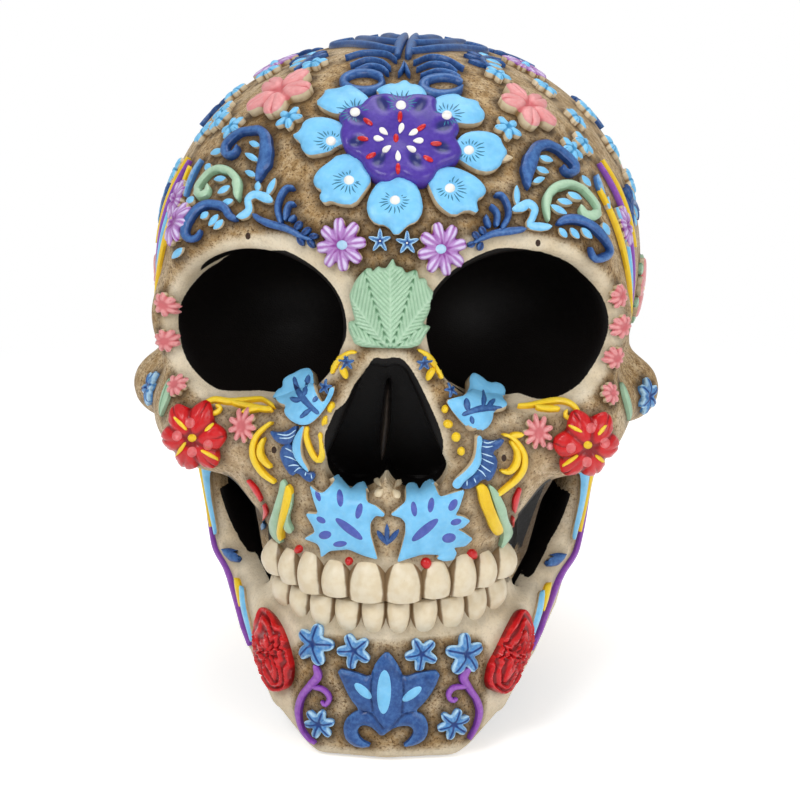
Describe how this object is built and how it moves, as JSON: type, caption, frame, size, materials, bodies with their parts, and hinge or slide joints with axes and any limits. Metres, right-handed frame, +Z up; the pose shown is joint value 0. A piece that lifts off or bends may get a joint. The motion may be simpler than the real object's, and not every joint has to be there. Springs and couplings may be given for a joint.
{
  "type": "sugar skull",
  "caption": "Cast resin sugar skull figure, life-like skull with closed jaw, raised painted flowers and scrolls, that stands on its chin and the back of its base.",
  "frame": {"origin": "middle of the box's bottom, on the surface that the skull stands on", "axes": "+Z up, the face looks along -Y, X = 0 is the mirror plane of the bone; left and right are the viewer's"},
  "size_m": [0.145, 0.1828, 0.1838],
  "materials": {
    "bone": "cast resin, antiqued with a brown wash",
    "ivory": "cast resin, satin, brown in the seams",
    "sky_blue": "hand-painted resin, satin",
    "deep_blue": "hand-painted resin, satin",
    "violet": "hand-painted resin, satin",
    "lilac": "hand-painted resin, satin",
    "mint": "hand-painted resin, satin",
    "yellow": "hand-painted resin, satin",
    "red": "hand-painted resin, satin",
    "pink": "hand-painted resin, satin"
  },
  "bodies": {
    "root": {"cranium": "bone", "mandible": "bone", "upper_tooth_left_1": "ivory", "upper_tooth_left_2": "ivory", "upper_tooth_left_3": "ivory", "upper_tooth_left_4": "ivory", "upper_tooth_left_5": "ivory", "upper_tooth_right_1": "ivory", "upper_tooth_right_2": "ivory", "upper_tooth_right_3": "ivory", "upper_tooth_right_4": "ivory", "upper_tooth_right_5": "ivory", "lower_tooth_left_1": "ivory", "lower_tooth_left_2": "ivory", "lower_tooth_left_3": "ivory", "lower_tooth_left_4": "ivory", "lower_tooth_left_5": "ivory", "lower_tooth_right_1": "ivory", "lower_tooth_right_2": "ivory", "lower_tooth_right_3": "ivory", "lower_tooth_right_4": "ivory", "lower_tooth_right_5": "ivory", "forehead_petals": "sky_blue", "cheek_blossom_left": "sky_blue", "cheek_blossom_right": "sky_blue", "lip_leaf_left": "sky_blue", "lip_leaf_right": "sky_blue", "jaw_flower_left": "sky_blue", "jaw_flower_right": "sky_blue", "chin_lotus": "deep_blue", "crown_scroll_left": "deep_blue", "crown_scroll_right": "deep_blue", "brow_fern_left": "deep_blue", "brow_fern_right": "deep_blue", "brow_curl_left": "deep_blue", "brow_curl_right": "deep_blue", "brow_stem_left": "deep_blue", "brow_stem_right": "deep_blue", "cheek_spray_left": "deep_blue", "cheek_spray_right": "deep_blue", "forehead_rosette": "violet", "chin_curl_left": "violet", "chin_curl_right": "violet", "brow_daisy_left": "lilac", "brow_daisy_right": "lilac", "nose_leaf": "mint", "mint_curl_left": "mint", "mint_curl_right": "mint", "gum_leaf_left": "mint", "gum_leaf_right": "mint", "cheek_scroll_left": "yellow", "cheek_scroll_right": "yellow", "cheek_rose_left": "red", "cheek_rose_right": "red", "carnation_left": "red", "carnation_right": "red", "pink_blossom_left": "pink", "pink_blossom_right": "pink"}
  },
  "joints": []
}
